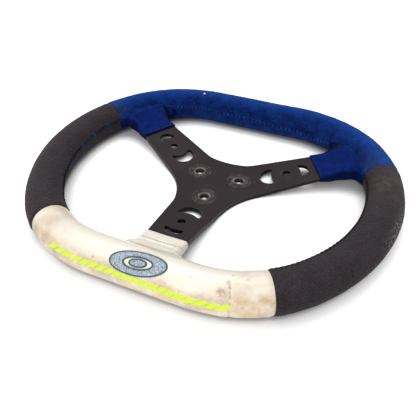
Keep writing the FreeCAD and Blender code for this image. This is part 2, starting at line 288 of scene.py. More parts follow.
class Finish:
    """One procedural material. Patterns read the object's own coordinates, in metres."""

    def __init__(self, name, colour, roughness=0.5, **constants):
        self.material = bpy.data.materials.new(name)
        self.material.use_nodes = True
        self.tree = self.material.node_tree
        self.shader = self.tree.nodes["Principled BSDF"]
        self.shader.inputs["Base Color"].default_value = (*colour, 1.0)
        self.shader.inputs["Roughness"].default_value = roughness
        for key, value in constants.items():
            self.shader.inputs[key.replace("_", " ").title().replace("Ior", "IOR")].default_value = value
        self.place = self.node("ShaderNodeTexCoord").outputs["Object"]

    def node(self, kind, settings=None, **sockets):
        """A node of any kind: its settings are set first, then its sockets from values or links."""
        node = self.tree.nodes.new(kind)
        for key, value in (settings or {}).items():
            setattr(node, key, value)
        for key, value in sockets.items():
            target = node.inputs[int(key[1:]) if key[0] == "_" else key.replace("_", " ")]
            value = value.socket if isinstance(value, Value) else value
            if isinstance(value, bpy.types.NodeSocket):
                self.tree.links.new(value, target)
            else:
                target.default_value = value
        return node

    def noise(self, size, detail=2.0, stretch=None, roughness=0.5):
        """Cloudy pattern from 0 to 1, about size metres from patch to patch."""
        place = self.place
        if stretch:
            made = self.node("ShaderNodeVectorMath", {"operation": "MULTIPLY"}, _0=place, _1=stretch)
            place = made.outputs[0]
        made = self.node("ShaderNodeTexNoise", None, Vector=place, Scale=1.0 / size, Detail=detail,
                         Roughness=roughness)
        return Value(self.tree, made.outputs["Fac"])

    def cells(self, size):
        """Distance to the nearest of scattered points, in units of size."""
        made = self.node("ShaderNodeTexVoronoi", None, Vector=self.place, Scale=1.0 / size)
        return Value(self.tree, made.outputs["Distance"])

    def attribute(self, name):
        made = self.node("ShaderNodeAttribute", {"attribute_name": name})
        return Value(self.tree, made.outputs["Fac"])

    def away_from(self, point):
        """Distance in metres from a point of the wheel."""
        made = self.node("ShaderNodeVectorMath", {"operation": "DISTANCE"}, _0=self.place, _1=tuple(point))
        return Value(self.tree, made.outputs["Value"])

    def axis(self, letter):
        made = self.node("ShaderNodeSeparateXYZ", None, _0=self.place)
        return Value(self.tree, made.outputs[letter])

    def mix(self, share, first, second):
        """Colour that goes from first to second as share goes from 0 to 1."""
        made = self.node("ShaderNodeMix", {"data_type": "RGBA"}, _0=share, _6=self.colour(first),
                         _7=self.colour(second))
        return made.outputs[2]

    @staticmethod
    def colour(value):
        return value if isinstance(value, bpy.types.NodeSocket) else (*value, 1.0)

    def paint(self, colour):
        self.tree.links.new(colour, self.shader.inputs["Base Color"])

    def rough(self, value):
        self.tree.links.new(value.socket, self.shader.inputs["Roughness"])

    def raise_by(self, height, depth):
        """Bump of a height pattern from 0 to 1, depth metres deep."""
        bump = self.node("ShaderNodeBump", None, Height=height, Distance=depth, Strength=1.0)
        self.tree.links.new(bump.outputs["Normal"], self.shader.inputs["Normal"])


def scaled(colour, factor):
    """A colour made darker or paler, each channel up to 1."""
    return tuple(min(1.0, factor * channel) for channel in colour)


def number_prop(name, default, note, **limits):
    return FloatProperty(name=name, description=note, default=default, **limits)


def length_prop(name, default, note):
    return number_prop(name, default, note, subtype="DISTANCE", unit="LENGTH", precision=5)


def colour_prop(name, default, note):
    return FloatVectorProperty(name=name, description=note, default=default, subtype="COLOR", min=0, max=1)


class WheelCoverSizes(bpy.types.PropertyGroup):
    """Sizes of the covers sewn round the grip."""

    row_step: length_prop("Row step", 0.0009, "Spacing of the mesh along the rim")
    column_count: IntProperty(name="Columns", description="Mesh columns round the grip", default=144, min=24)
    thickness: length_prop("Leather", 0.0013, "Thickness of the leather")
    seam_width: length_prop("Seam width", 0.0006, "Half width of the groove between the sewn edges")
    seam_depth: length_prop("Seam depth", 0.0009, "Depth of the groove between the sewn edges")
    puff_height: length_prop("Puff", 0.00035, "How far the leather puffs up beside the stitches")
    lump_height: length_prop("Lumps", 0.00028, "Slow unevenness of the padding")


class WheelBootSizes(bpy.types.PropertyGroup):
    """Sizes of the boots round the spoke roots."""

    hem_reach: length_prop("Hem reach", 0.103, "Distance of the hem from the wheel's axis")
    thickness: length_prop("Fabric", 0.001, "Thickness of the fabric")
    lap_half_width: length_prop("Lap half width", 0.034, "Half width of the lap on the grip")
    lap_above: length_prop("Lap above", 0.0085, "Height of the lap above the rim's centreline")
    lap_below: length_prop("Lap below", 0.013, "Depth of the lap below the rim's centreline")
    lap_shift: length_prop("Lap shift", 0.0052, "How far the upper boots' laps lie towards the top")
    lap_fullness: number_prop("Lap fullness", 3.2, "2 for an ellipse, more for fuller corners", min=1.5)


class WheelStitchSizes(bpy.types.PropertyGroup):
    """Sizes of the sewing."""

    pitch: length_prop("Pitch", 0.005, "Distance from one cross stitch to the next")
    half_width: length_prop("Half width", 0.0024, "Distance of the holes from the seam")
    thread: length_prop("Thread", 0.00034, "Radius of the thread")


class WheelMarkSizes(bpy.types.PropertyGroup):
    """Plain marks that fill the places of the printed band and the sewn badge."""

    bar_count: IntProperty(name="Bars", description="Slanted bars in the printed band", default=20, min=1)
    bar_length: length_prop("Bar length", 0.0064, "Length of one bar along the rim")
    bar_height: length_prop("Bar height", 0.0070, "Height of one bar round the grip")
    bar_slant: length_prop("Bar slant", 0.0075, "How far the top of a bar is shifted along the rim")
    badge_middle: length_prop("Badge place", 0.4865, "Distance of the badge's middle along the rim")
    badge_angle: number_prop("Badge angle", 60.0, "Degrees of the badge's middle round the grip")
    badge_length: length_prop("Badge length", 0.044, "Length of the badge along the rim")
    badge_height: length_prop("Badge height", 0.0195, "Height of the badge round the grip")
    badge_slant: length_prop("Badge slant", 0.013, "How far the badge's top is shifted along the rim")


class WheelColours(bpy.types.PropertyGroup):
    """Colours of the finishes, as linear values."""

    plate: colour_prop("Plate", (0.0100, 0.0042, 0.0060), "Anodised spoke plate")
    # Bare metal is also painted along the plate's edges, partly as a highlight.
    bare: colour_prop("Bare metal", (0.25, 0.22, 0.21), "Metal where the anodising is worn")
    blue: colour_prop("Blue suede", (0.0005, 0.0042, 0.056), "Suede of the top of the grip")
    # Blue nap is also painted on the top cover's upward, outward crown as a highlight.
    blue_nap_and_highlight: colour_prop("Blue nap", (0.0085, 0.070, 0.375), "Raised nap of the blue suede")
    boot_blue: colour_prop("Boot blue", (0.0008, 0.0130, 0.125), "Smoother suede of the upper boots")
    black: colour_prop("Black suede", (0.0130, 0.0092, 0.0108), "Suede of the sides of the grip")
    black_worn: colour_prop("Worn black", (0.038, 0.029, 0.035), "Black suede where it is rubbed")
    cream: colour_prop("Cream leather", (0.83, 0.78, 0.68), "Clean cream leather")
    soil: colour_prop("Soil", (0.56, 0.41, 0.235), "Soiled cream leather")
    stain: colour_prop("Stain", (0.33, 0.21, 0.13), "Brown stains on the cream leather")
    neon: colour_prop("Neon", (0.62, 0.80, 0.012), "Printed bars")
    badge: colour_prop("Badge", (0.27, 0.32, 0.37), "Embroidery of the badge")
    badge_edge: colour_prop("Badge edge", (0.030, 0.065, 0.080), "Outline stitching of the badge")
    blue_thread: colour_prop("Blue thread", (0.006, 0.052, 0.235), "Thread on the blue and left covers")
    black_thread: colour_prop("Black thread", (0.012, 0.010, 0.011), "Thread on the right cover")


class WheelStage(bpy.types.PropertyGroup):
    """Light and camera."""

    world: number_prop("World", 0.45, "Strength of the white surroundings", min=0)
    lamp: number_prop("Lamp", 6.5, "Power of the soft lamp overhead", min=0, unit="POWER")
    fill: number_prop("Fill", 8.5, "Power of the soft lamp in front", min=0, unit="POWER")
    azimuth: number_prop("Azimuth", 23.94, "Camera's turn from the wheel's bottom, in degrees")
    elevation: number_prop("Elevation", 39.19, "Camera's height above the floor, in degrees")
    reach: length_prop("Camera distance", 0.4534, "Distance of the camera from its target")
    lens: number_prop("Lens", 41.54, "Focal length on a 36 mm sensor")


def sizes():
    return bpy.context.scene.wheel


# Finishes

def blue_suede():
    """Napped suede: brushed patches, specks where the nap lies over, a soft sheen and a painted highlight on
    the upward, outward crown.
    """
    colours = sizes().colours
    finish = Finish("blue_suede", colours.blue, 0.95, sheen_weight=0.10, sheen_roughness=0.40,
                    sheen_tint=(0.20, 0.50, 1.0, 1.0), specular_ior_level=0.08)
    brushed = finish.noise(0.011, 3.0).above(0.36, 0.66)
    specks = finish.noise(0.0014, 2.0).above(0.42, 0.72)
    # Painted highlight: the upward, outward crown (high) is lightened towards the nap colour and keeps fewer
    # dark patches.
    high = finish.attribute("upward").above(0.0, 1.05) * finish.attribute("outward").above(-1.0, 0.5)
    share = brushed * 0.18 + specks * 0.30 + high * 0.64
    nap = finish.mix(share, colours.blue, colours.blue_nap_and_highlight)
    dark = finish.noise(0.0026, 2.0).above(0.50, 0.72) * (1.0 - high * 0.75)
    worn = finish.mix(dark * 0.55, nap, (0.002, 0.012, 0.060))
    dusty = finish.attribute("along").math("SUBTRACT", 0.168).above(-0.02, 0.018)
    dusty_left = finish.attribute("along").above(-0.160, -0.185)
    worn = finish.mix((dusty + dusty_left) * 0.28, worn, (0.035, 0.060, 0.12))
    for distance, angle, size in ((-0.0665, 103.0, 0.0016), (0.118, 40.0, 0.0011), (-0.052, 60.0, 0.0007)):
        spot = finish.away_from(on_grip(distance, angle, GRIP_RADIUS)).above(size, size * 0.55)
        worn = finish.mix(spot, worn, (0.75, 0.76, 0.78))
    finish.paint(worn)
    fibre = finish.noise(0.0009, 3.0, roughness=0.7)
    finish.raise_by(fibre + finish.noise(0.0035, 2.0) * 1.2, 0.0009)
    return finish.material


def boot_suede():
    """Smoother blue suede with the nap brushed towards the rim, and painted shade on faces that do not face
    up.
    """
    colours = sizes().colours
    finish = Finish("boot_suede", colours.boot_blue, 0.92, sheen_weight=0.05, sheen_roughness=0.40,
                    sheen_tint=(0.25, 0.45, 1.0, 1.0), specular_ior_level=0.08)
    fine = finish.noise(0.0010, 3.0).above(0.35, 0.7)
    brushed = finish.noise(0.007, 2.0).above(0.35, 0.7)
    share = fine * 0.5 + brushed * 0.35
    shade = finish.mix(share, scaled(colours.boot_blue, 0.45), scaled(colours.boot_blue, 1.55))
    rub = finish.attribute("edge") * finish.noise(0.004, 2.0).above(0.3, 0.7)
    shade = finish.mix(rub * 0.12, shade, (0.02, 0.10, 0.42))
    # Painted shade: faces turned sideways or down are darkened to a near-black blue.
    flat = finish.attribute("upward").above(0.05, 0.80)
    finish.paint(finish.mix(flat, (0.0006, 0.0035, 0.034), shade))
    finish.raise_by(finish.noise(0.0008, 3.0), 0.00035)
    return finish.material


def black_suede():
    """Rubbed black suede with a purple-brown cast, paler and smoother on upward faces and where hands wore
    it.
    """
    colours = sizes().colours
    finish = Finish("black_suede", colours.black, 0.82, sheen_weight=0.03, sheen_roughness=0.5,
                    sheen_tint=(0.85, 0.78, 0.74, 1.0), specular_ior_level=0.14)
    cloudy = finish.noise(0.018, 3.0).above(0.35, 0.68)
    grain = finish.noise(0.0017, 3.0, roughness=0.7).above(0.40, 0.60)
    # Upward faces are made paler and smoother.
    high = finish.attribute("upward").above(0.1, 1.0)
    share = cloudy * 0.25 + high * 0.18 + grain * 0.50
    shade = finish.mix(share, colours.black, colours.black_worn)
    along = finish.attribute("along")
    outside = finish.attribute("outward").above(0.55, 0.98)
    chafed = (along - 0.262).bell(0.040) * outside * finish.noise(0.0016, 3.0).above(0.46, 0.66)
    shade = finish.mix(chafed * 0.55, shade, (0.42, 0.40, 0.39))
    brown = (along - 0.215).bell(0.035) * high * finish.noise(0.010, 2.0).above(0.3, 0.7)
    shade = finish.mix(brown * 0.35, shade, (0.13, 0.10, 0.08))
    finish.paint(shade)
    finish.rough(0.86 - high * 0.14 - chafed * 0.1)
    finish.raise_by(finish.noise(0.0016, 3.0) * 0.9 + finish.cells(0.0021) * 0.8, 0.00095)
    return finish.material


def cream_leather():
    """Smooth cream leather: clean and glossy on top, soiled and cracked where it is held, with grey patches
    that are partly painted shade.
    """
    colours = sizes().colours
    finish = Finish("cream_leather", colours.cream, 0.30, coat_weight=0.30, coat_roughness=0.16)
    along = finish.attribute("along")
    upward = finish.attribute("upward")
    outward = finish.attribute("outward")
    low = upward.above(0.90, 0.45) * outward.above(-0.25, 0.30)
    patches = finish.noise(0.020, 3.0).above(0.34, 0.66)
    freckles = finish.noise(0.0030, 3.0).above(0.45, 0.72)
    ends = (along - 0.585).bell(0.045) + (along - 0.400).bell(0.038) * 0.8
    soiled = low * (0.40 + patches * 0.55 + freckles * 0.28) + ends * (0.10 + patches * 0.66)
    shade = finish.mix(soiled * 0.84, colours.cream, colours.soil)
    # Grey patches on the lower front and near the joins: partly grime, partly painted shade.
    grime_and_painted_shade = (low + ends * 0.6) * finish.noise(0.013, 4.0).above(0.44, 0.68) * 0.62
    shade = finish.mix(grime_and_painted_shade, shade, (0.42, 0.36, 0.29))
    for distance, angle, size, strength in ((0.422, 47.0, 0.0060, 0.85), (0.418, 76.0, 0.0030, 0.6),
                                            (0.4165, 62.0, 0.0022, 0.7), (0.444, 70.0, 0.0020, 0.3),
                                            (0.4045, 84.0, 0.0016, 0.5), (0.574, 62.0, 0.0060, 0.25),
                                            (0.408, 14.0, 0.0020, 0.6)):
        blot = finish.away_from(on_grip(distance, angle, GRIP_RADIUS)).above(size, size * 0.2)
        rough_edge = finish.noise(0.0017, 2.0).above(0.25, 0.6)
        shade = finish.mix(blot * rough_edge * strength, shade, colours.stain)
    for distance, angle, size in ((0.524, 40.0, 0.0013), (0.415, 96.0, 0.0010)):
        dot = finish.away_from(on_grip(distance, angle, GRIP_RADIUS)).above(size, size * 0.4)
        shade = finish.mix(dot * 0.8, shade, (0.75, 0.22, 0.07))
    cracked = (along - 0.4165 + finish.noise(0.006, 2.0) * 0.003 - 0.0015).bell(0.0008)
    broken = finish.noise(0.002, 2.0).above(0.35, 0.6)
    cracked = cracked * upward.above(1.0, 0.9) * outward.above(0.0, 0.2) * broken
    shade = finish.mix(cracked * 0.8, shade, colours.stain)
    finish.paint(shade)
    finish.rough(0.30 + soiled * 0.30 + freckles * 0.05)
    finish.raise_by(finish.cells(0.0012) * 0.35 + finish.noise(0.0035, 2.0) * 0.6, 0.00018)
    return finish.material


def anodised_plate():
    """Dark anodised aluminium, scuffed in rings round the screw holes, bare along its edges and partly
    painted there with a highlight, and painted with shade on its walls.
    """
    colours = sizes().colours
    finish = Finish("anodised_plate", colours.plate, 0.50, specular_ior_level=0.16)
    cloudy = finish.noise(0.030, 3.0).above(0.3, 0.7)
    shade = finish.mix(cloudy * 0.5, colours.plate, scaled(colours.plate, 1.35))
    fine = finish.noise(0.0012, 3.0).above(0.5, 0.62)
    top = finish.axis("Z").above(PLATE_THICKNESS - 0.0006, PLATE_THICKNESS - 0.0002)
    for index, heading in enumerate(SPOKES.values()):
        centre = (BOLT_REACH * cosine(heading), BOLT_REACH * sine(heading), PLATE_THICKNESS)
        away = finish.away_from(centre)
        broken = finish.noise(0.0045 + 0.0006 * index, 2.0).above(0.34, 0.62)
        outer = (away - 0.0114).bell(0.0013) * 0.42
        middle = (away - 0.0088).bell(0.0016) * 0.30
        inner = (away - 0.0056).bell(0.0016) * 0.62
        disc = away.above(0.0120, 0.006) * 0.22
        scuffed = (outer + middle + disc) * broken * (0.3 + fine * 0.7) + inner * (0.25 + broken * 0.75)
        shade = finish.mix(scuffed * top, shade, colours.bare)
    scratch = finish.noise(0.0016, 1.0, stretch=(1.0, 0.06, 1.0)).above(0.70, 0.76)
    shade = finish.mix(scratch * 0.10, shade, colours.bare)
    # Along the edges the bare colour is partly worn anodising and partly a painted highlight in place of a
    # rounded edge.
    bevel = finish.node("ShaderNodeBevel", {"samples": 6}, Radius=0.0007)
    plain = finish.node("ShaderNodeNewGeometry").outputs["True Normal"]
    dot = finish.node("ShaderNodeVectorMath", {"operation": "DOT_PRODUCT"}, _0=bevel.outputs[0], _1=plain)
    edge = (1.0 - Value(finish.tree, dot.outputs["Value"])).above(0.02, 0.25)
    edge_wear_and_highlight = edge * (0.35 + finish.noise(0.009, 2.0).above(0.35, 0.65) * 0.65)
    # Painted shade: faces that do not face up, the plate's walls and the insides of its holes, are darkened
    # to near black.
    upright = finish.node("ShaderNodeSeparateXYZ", None, _0=plain)
    face = Value(finish.tree, upright.outputs["Z"]).above(0.35, 0.80)
    shade = finish.mix(face, (0.0025, 0.0018, 0.0020), shade)
    finish.paint(finish.mix(edge_wear_and_highlight * 0.45, shade, colours.bare))
    finish.rough(0.50 - cloudy * 0.08)
    finish.raise_by(finish.noise(0.0006, 2.0), 0.00003)
    return finish.material


def plain_metal(name, colour, roughness, metallic):
    """Metal inside the wheel, with slight clouding."""
    finish = Finish(name, colour, roughness, metallic=metallic)
    cloudy = finish.noise(0.012, 3.0)
    finish.paint(finish.mix(cloudy, scaled(colour, 0.8), scaled(colour, 1.2)))
    finish.rough(cloudy * 0.2 + (roughness - 0.1))
    return finish.material


def moulded_foam():
    """Closed-cell foam under the covers."""
    finish = Finish("moulded_foam", (0.03, 0.03, 0.03), 0.9)
    pores = finish.cells(0.0012).above(0.1, 0.5)
    finish.paint(finish.mix(pores, (0.012, 0.012, 0.012), (0.045, 0.045, 0.046)))
    finish.raise_by(pores, 0.0002)
    return finish.material


def thread(name, colour, grime=0.5):
    """Twisted sewing thread with a slight gloss, darkened by grime in stretches."""
    finish = Finish(name, colour, 0.75, sheen_weight=0.03, specular_ior_level=0.15)
    twist = finish.noise(0.0005, 2.0).above(0.3, 0.7)
    clean = finish.noise(0.009, 2.0).above(0.45, 0.65) * (0.5 + twist * 0.5)
    finish.paint(finish.mix(clean, scaled(colour, grime), scaled(colour, 1.4)))
    finish.raise_by(twist, 0.0001)
    return finish.material


def printed(name, colour):
    """Print on leather, cracked a little."""
    finish = Finish(name, colour, 0.45)
    rubbed = finish.noise(0.0018, 3.0).above(0.62, 0.72)
    tint = finish.noise(0.010, 2.0)
    base = finish.mix(tint * 0.5, colour, scaled(colour, 0.82))
    finish.paint(finish.mix(rubbed * 0.35, base, sizes().colours.cream))
    finish.raise_by(finish.noise(0.0015, 2.0), 0.0001)
    return finish.material


def embroidery(name, colour):
    """Close rows of thread."""
    finish = Finish(name, colour, 0.6, sheen_weight=0.25)
    rows = finish.noise(0.0007, 2.0, stretch=(1.0, 0.3, 0.6)).above(0.35, 0.65)
    finish.paint(finish.mix(rows, scaled(colour, 0.65), scaled(colour, 1.7)))
    finish.raise_by(rows, 0.00025)
    return finish.material


# Covers round the grip

def seam_angle(distance, seam):
    places, angles = np.array(seam).T
    return np.interp(distance, places, angles)


def cover_columns(count):
    """Offsets from the seam round the grip, in degrees, closer together beside the seam."""
    share = np.linspace(-1.0, 1.0, count, endpoint=False)
    return 180.0 * (0.42 * share + 0.58 * share**3)


def sleeve(start, stop, seam, relief):
    """Closed sleeve that follows the rim. Rows run along the outside, round the turned edge, back along the
    inside and round the other edge: on_grip(distance, seam + offset, radius + relief)."""
    cover = sizes().covers
    roll = cover.thickness / 2
    outer = np.linspace(start + roll, stop - roll, int((stop - start) / cover.row_step))
    inner = np.linspace(stop - roll, start + roll, int((stop - start) / 0.006))
    turn = np.linspace(0.0, 180.0, 7)[1:-1]
    distance = np.concatenate([outer, stop - roll + roll * sine(turn),
                               inner, start + roll - roll * sine(turn)])
    inside = GRIP_RADIUS - 2 * roll
    edge = GRIP_RADIUS - roll
    radius = np.concatenate([np.full(len(outer), GRIP_RADIUS), edge + roll * cosine(turn),
                             np.full(len(inner), inside), edge - roll * cosine(turn)])
    weight = (radius - inside) / (2 * roll)
    offset = np.broadcast_to(cover_columns(cover.column_count), (len(distance), cover.column_count))
    along = np.broadcast_to(distance[:, None], offset.shape)
    angle = seam_angle(along, seam) + offset
    plain = on_grip(along, angle, GRIP_RADIUS)
    stand = relief(along, angle, offset, plain) + edge_relief(along, start, stop)
    stand = np.maximum(stand, -0.85 * cover.thickness)
    points = on_grip(along, angle, radius[:, None] + weight[:, None] * stand)
    attributes = {"along": along, "upward": sine(angle), "outward": cosine(angle)}
    return points, attributes


def seam_relief(along, offset, puff):
    """Groove between the sewn edges, with the leather puffed up between the stitches on both sides."""
    cover = sizes().covers
    pitch = sizes().stitches.pitch
    across = np.radians(offset) * GRIP_RADIUS
    groove = -cover.seam_depth * bell(across, cover.seam_width)
    pulse = 0.55 + 0.45 * np.cos(2 * np.pi * along / pitch)
    beads = puff * pulse * bell(np.abs(across) - 0.0021, 0.0013)
    return groove + beads


def edge_relief(along, start, stop):
    """The cover is drawn down where it is turned under at its ends, with a soft roll beside the join."""
    near = np.minimum(along - start, stop - along)
    return -0.00050 * bell(near, 0.0016) + 0.00022 * bell(near - 0.0048, 0.0028)


def padding_relief(plain, seed):
    """Slow and middling unevenness of the padding under a cover."""
    cover = sizes().covers
    return cover.lump_height * waves(plain, 0.055, seed) + 0.00008 * waves(plain, 0.013, seed + 1)


def boot_root(side):
    """Distance along the rim of a spoke's root, below 0 on the left half."""
    root = distance_at(SPOKES[side])
    return root - RIM_LENGTH if root > RIM_LENGTH / 2 else root


def top_relief(along, angle, offset, plain):
    """Lumpy padding, nap, the seam and creases that fan out from the boots."""
    relief = padding_relief(plain, 11) + 0.00013 * waves(plain, 0.0032, 12, 24)
    relief += seam_relief(along, offset, sizes().covers.puff_height)
    for side in ("left", "right"):
        root = boot_root(side)
        inboard = -np.sign(root) * (along - root)
        fan = bell(inboard - 0.030, 0.013) * bell(angle - 152.0, 24.0)
        relief += 0.00024 * fan * np.sin(2 * np.pi * (along + 0.00016 * (angle - 150.0)) / 0.0031)
    return relief


def side_relief(seed, puff):
    def relief(along, angle, offset, plain):
        """Padding, seam and fine hand wear of a black side cover."""
        shape = padding_relief(plain, seed) + 0.00005 * waves(plain, 0.0045, seed + 2, 20)
        return shape + seam_relief(along, offset, puff)
    return relief


def bottom_relief(along, angle, offset, plain):
    """Smooth leather with slack folds, a crease across it and a hollow beside the boot."""
    relief = padding_relief(plain, 31) + 0.00004 * waves(plain, 0.006, 33)
    relief += seam_relief(along, offset, 0.00015)
    outer = ease(cosine(angle), -0.2, 0.4)
    wander = 0.0012 * waves(plain, 0.012, 34)
    relief -= 0.00045 * bell(along - 0.4165 + wander, 0.0011) * outer
    relief += 0.00028 * bell(along - 0.4205 + wander, 0.0026) * outer
    relief -= 0.00038 * bell(along - 0.444 + wander, 0.0016) * bell(angle - 78.0, 26.0)
    relief -= 0.00030 * bell(along - 0.402 + wander, 0.0014) * bell(angle - 92.0, 18.0)
    hollow = bell(along - RIM_LENGTH / 2, 0.026) * bell(angle - 132.0, 15.0)
    relief -= 0.00070 * hollow
    stretch = bell(along - RIM_LENGTH / 2, 0.050) * bell(angle - 112.0, 26.0)
    return relief + 0.00010 * stretch * np.sin(2 * np.pi * (angle - 100.0) / 9.0)


class WHEEL_OT_covers(bpy.types.Operator):
    """Build the four sewn covers of the grip"""

    bl_idname = "wheel.covers"
    bl_label = "Grip covers"

    def execute(self, context):
        puff = sizes().covers.puff_height
        black = black_suede()
        dressing = (
            ("top", top_relief, blue_suede()),
            ("right", side_relief(41, 1.5 * puff), black),
            ("bottom", bottom_relief, cream_leather()),
            ("left", side_relief(51, puff), black),
        )
        for side, relief, material in dressing:
            start, stop, seam, slot = COVERS[side]
            points, attributes = sleeve(start, stop, seam, relief)
            piece = add_piece(f"grip_{side}", points, material, attributes=attributes)
            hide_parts(f"cover_{side}")
        return {"FINISHED"}


# Boots round the spoke roots

# Rings of the boots, hem first: distance short of the grip (0 at the hem), half width, depth below the
# plate's face, height above it, and corner radius
UPPER_BOOT_ROWS = (
    (0.0, 0.0202, 0.0050, 0.0020, 0.0018),
    (0.0286, 0.0195, 0.0080, 0.0024, 0.0026),
    (0.020, 0.0194, 0.0088, 0.0031, 0.0036),
    (0.012, 0.0230, 0.0097, 0.0038, 0.0044),
    (0.006, 0.0262, 0.0108, 0.0049, 0.0052),
)
BOTTOM_BOOT_ROWS = (
    (0.0, 0.0203, 0.0056, 0.0020, 0.0022),
    (0.0190, 0.0199, 0.0074, 0.0021, 0.0026),
    (0.0130, 0.0197, 0.0087, 0.0025, 0.0030),
    (0.0080, 0.0208, 0.0108, 0.0035, 0.0045),
    (0.0045, 0.0225, 0.0126, 0.0043, 0.0055),
)


def plate_top(reach):
    """Height of the plate's front face on a spoke's middle line, outside the bend."""
    return PLATE_THICKNESS + (reach - BEND_REACH) * math.tan(math.radians(SPOKE_RISE))


def ring_shares(flat_steps=44, end_steps=14, corner_steps=12):
    """Columns round a rounded rectangle, as shares of its straight sides and the angle of each corner:
    centre = (x share, z share) times the flats, plus corner radius times (cos angle, sin angle)."""
    x_share, z_share, turn = [], [], []
    signs = ((1, 1), (-1, 1), (-1, -1), (1, -1))
    for quarter, (sign_x, sign_z) in enumerate(signs):
        angle = np.linspace(90.0 * quarter, 90.0 * (quarter + 1), corner_steps)
        x_share.append(np.full(corner_steps, sign_x))
        z_share.append(np.full(corner_steps, sign_z))
        turn.append(angle)
        next_x, next_z = signs[(quarter + 1) % 4]
        steps = flat_steps if quarter % 2 == 0 else end_steps
        between = np.linspace(0.0, 1.0, steps + 2)[1:-1]
        x_share.append(sign_x + (next_x - sign_x) * between)
        z_share.append(sign_z + (next_z - sign_z) * between)
        turn.append(np.full(steps, 90.0 * (quarter + 1)))
    return np.concatenate(x_share), np.concatenate(z_share), np.concatenate(turn)


def rounded_ring(half_width, low, high, corner, shares):
    """Sideways and upright coordinates of the columns of a rounded rectangle."""
    x_share, z_share, turn = shares
    middle, half_height = (low + high) / 2, (high - low) / 2
    sideways = x_share * (half_width - corner) + corner * cosine(turn)
    upright = middle + z_share * (half_height - corner) + corner * sine(turn)
    return sideways, upright


def boot_rings(side, shares):
    """Outer rings of the boot along its spoke, hem first, and the reach of each ring."""
    point, outward = rim_line(distance_at(SPOKES[side]))
    grip = math.hypot(point[0], point[1]) - GRIP_RADIUS
    rows = BOTTOM_BOOT_ROWS if side == "bottom" else UPPER_BOOT_ROWS
    lean = sizes().boots.lap_shift * TOWARDS_TOP[side]
    reaches, rings = [], []
    for short, half_width, below, above, corner in rows:
        reach = grip - short if short > 0 else sizes().boots.hem_reach
        top = plate_top(reach)
        sideways, upright = rounded_ring(half_width, top - below, top + above, corner, shares)
        sideways = sideways + lean * ease(reach, grip - 0.022, grip + 0.004)
        ring = np.stack([np.full_like(sideways, reach), sideways, upright], axis=-1)
        rings.append(into_wheel(ring, SPOKES[side]))
        reaches.append(reach)
    return rings, reaches


def into_wheel(points, heading):
    """A spoke's own frame (reach, sideways, height) turned to its heading."""
    reach, sideways, height = np.moveaxis(points, -1, 0)
    return np.stack([reach * cosine(heading) - sideways * sine(heading),
                     reach * sine(heading) + sideways * cosine(heading), height], axis=-1)


def lap_ring(side, shares, grow, radius):
    """The boot's edge where it laps on the grip: seen along the spoke it is the oval |x|^n + |z|^n = 1 about
    its middle, with columns spread by the directions of a flat rounded box. A height h on it gives the angle
    180 - asin(h / radius), and the distance along the rim is moved until the point lies at the oval's
    sideways coordinate."""
    boot = sizes().boots
    power = boot.lap_fullness
    sideways, upright = rounded_ring(1.0, -0.6, 0.45, 0.10, shares)
    upright = np.where(upright > 0, upright * (1.0 - 0.35 * TOWARDS_TOP[side] * sideways), upright)
    size = (np.abs(sideways) ** power + np.abs(upright) ** power) ** (1.0 / power)
    half_height = (boot.lap_above + boot.lap_below) / 2
    shift = boot.lap_shift * TOWARDS_TOP[side]
    sideways = shift + (boot.lap_half_width + grow) * sideways / size
    upright = boot.lap_above - half_height + (half_height + grow) * upright / size
    heading = SPOKES[side]
    side_way = into_wheel(np.array([[0.0, 1.0, 0.0]]), heading)[0]
    angle = 180.0 - np.degrees(np.arcsin(np.clip(upright / radius, -0.99, 0.99)))
    distance = distance_at(heading) - sideways
    for _ in range(8):
        distance = distance + on_grip(distance, angle, radius) @ side_way - sideways
    return on_grip(distance, angle, radius)


def lofted(rings, places, last_slope, steps):
    """Smooth surface through rings: in each span a cubic that leaves and arrives along the rings' slopes,
    (2t^3 - 3t^2 + 1) a + (t^3 - 2t^2 + t) a' + (3t^2 - 2t^3) b + (t^3 - t^2) b'."""
    rings = np.array(rings)
    slopes = np.gradient(rings, np.array(places), axis=0)
    slopes[-1] = last_slope
    spans = [rings[:1]]
    t = np.linspace(0.0, 1.0, steps + 1)[1:, None, None]
    for index in range(len(rings) - 1):
        gap = places[index + 1] - places[index]
        first, last = rings[index], rings[index + 1]
        leave, arrive = slopes[index] * gap, slopes[index + 1] * gap
        spans.append((2 * t**3 - 3 * t**2 + 1) * first + (t**3 - 2 * t**2 + t) * leave
                     + (3 * t**2 - 2 * t**3) * last + (t**3 - t**2) * arrive)
    return np.concatenate(spans)


def drawn_in(ring, inset):
    """A ring moved towards its middle by a length."""
    offset = ring - ring.mean(axis=0)
    return ring - offset * inset / np.linalg.norm(offset, axis=-1, keepdims=True)


